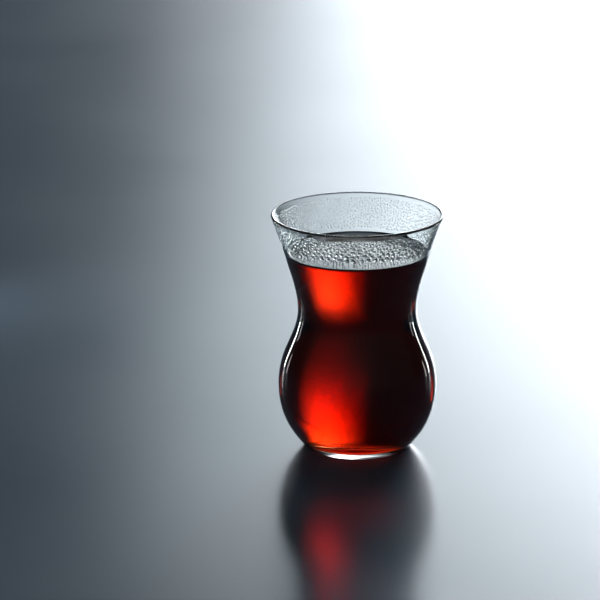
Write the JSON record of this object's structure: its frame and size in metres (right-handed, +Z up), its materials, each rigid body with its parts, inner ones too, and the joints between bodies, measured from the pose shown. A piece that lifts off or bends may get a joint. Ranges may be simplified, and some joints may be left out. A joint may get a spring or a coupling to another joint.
{
  "type": "tea glass",
  "caption": "Waisted tea glass with a flared lip and a narrow foot, filled with black tea to a little below the lip.",
  "frame": {"origin": "middle of the foot, on the surface that the glass stands on", "axes": "+Z up along the axis that the glass is turned about; it is round, so +X and +Y are any two square directions"},
  "size_m": [0.063, 0.063, 0.088],
  "materials": {
    "glass": "clear soda-lime glass, fire-polished, smooth",
    "tea": "clear dark liquid, mirror-smooth surface"
  },
  "bodies": {
    "root": {"glass": "glass", "tea": "tea"}
  },
  "joints": []
}
